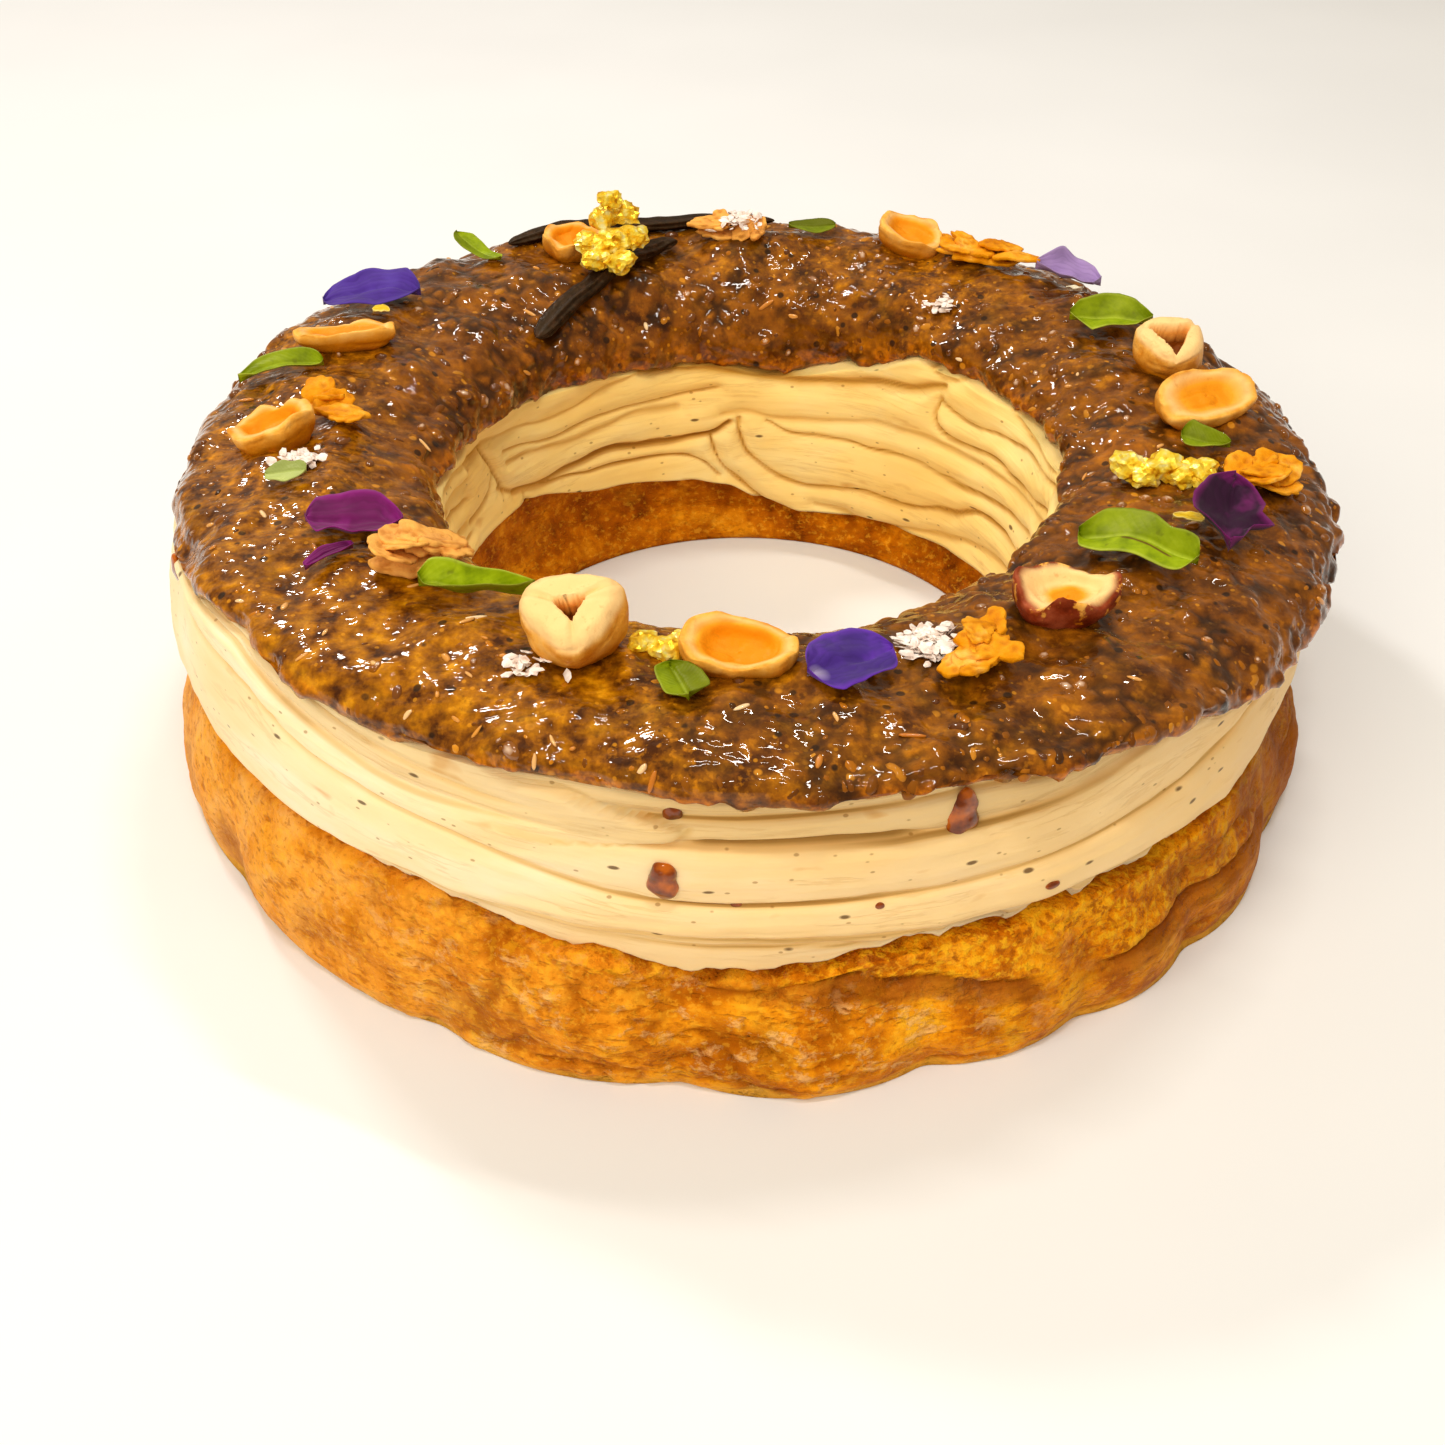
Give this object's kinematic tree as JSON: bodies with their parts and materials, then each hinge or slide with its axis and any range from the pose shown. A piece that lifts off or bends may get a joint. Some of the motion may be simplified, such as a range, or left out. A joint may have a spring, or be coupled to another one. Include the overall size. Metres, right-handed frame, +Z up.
{
  "type": "paris brest pastry",
  "caption": "Ring of choux pastry filled with piped cream under a praline-glazed upper half that carries hazelnuts, leaves, viola petals, crisp flakes, gold leaf and vanilla pod.",
  "frame": {"origin": "middle of the overall box, on the plane that the pastry stands on", "axes": "+Z up through the hole, -Y towards the side shown in front, +X to the right of that side"},
  "size_m": [0.2166, 0.2188, 0.0734],
  "materials": {
    "choux": "matte, baked crust",
    "cream": "soft satin",
    "praline_glaze": "wet gloss",
    "hazelnut": "matte, toasted",
    "crisp_flake": "matte, porous",
    "leaf": "satin",
    "petal": "velvety",
    "gold_leaf": "bright, crumpled",
    "vanilla_pod": "oily satin"
  },
  "bodies": {
    "root": {"choux_base": "choux", "cream_ring": "cream", "glazed_cap": "praline_glaze", "hazelnut_1": "hazelnut", "hazelnut_2": "hazelnut", "hazelnut_3": "hazelnut", "hazelnut_4": "hazelnut", "hazelnut_5": "hazelnut", "hazelnut_6": "hazelnut", "hazelnut_7": "hazelnut", "hazelnut_8": "hazelnut", "hazelnut_9": "hazelnut", "flake_1": "crisp_flake", "flake_2": "crisp_flake", "flake_3": "crisp_flake", "flake_4": "crisp_flake", "flake_5": "crisp_flake", "flake_6": "crisp_flake", "leaf_1": "leaf", "leaf_2": "leaf", "leaf_3": "leaf", "leaf_4": "leaf", "leaf_5": "leaf", "leaf_6": "leaf", "leaf_7": "leaf", "leaf_8": "leaf", "leaf_9": "leaf", "petal_1": "petal", "petal_2": "petal", "petal_3": "petal", "petal_4": "petal", "petal_5": "petal", "gold_leaf_1": "gold_leaf", "gold_leaf_2": "gold_leaf", "gold_leaf_3": "gold_leaf", "vanilla_pod_1": "vanilla_pod", "vanilla_pod_2": "vanilla_pod"}
  },
  "joints": []
}
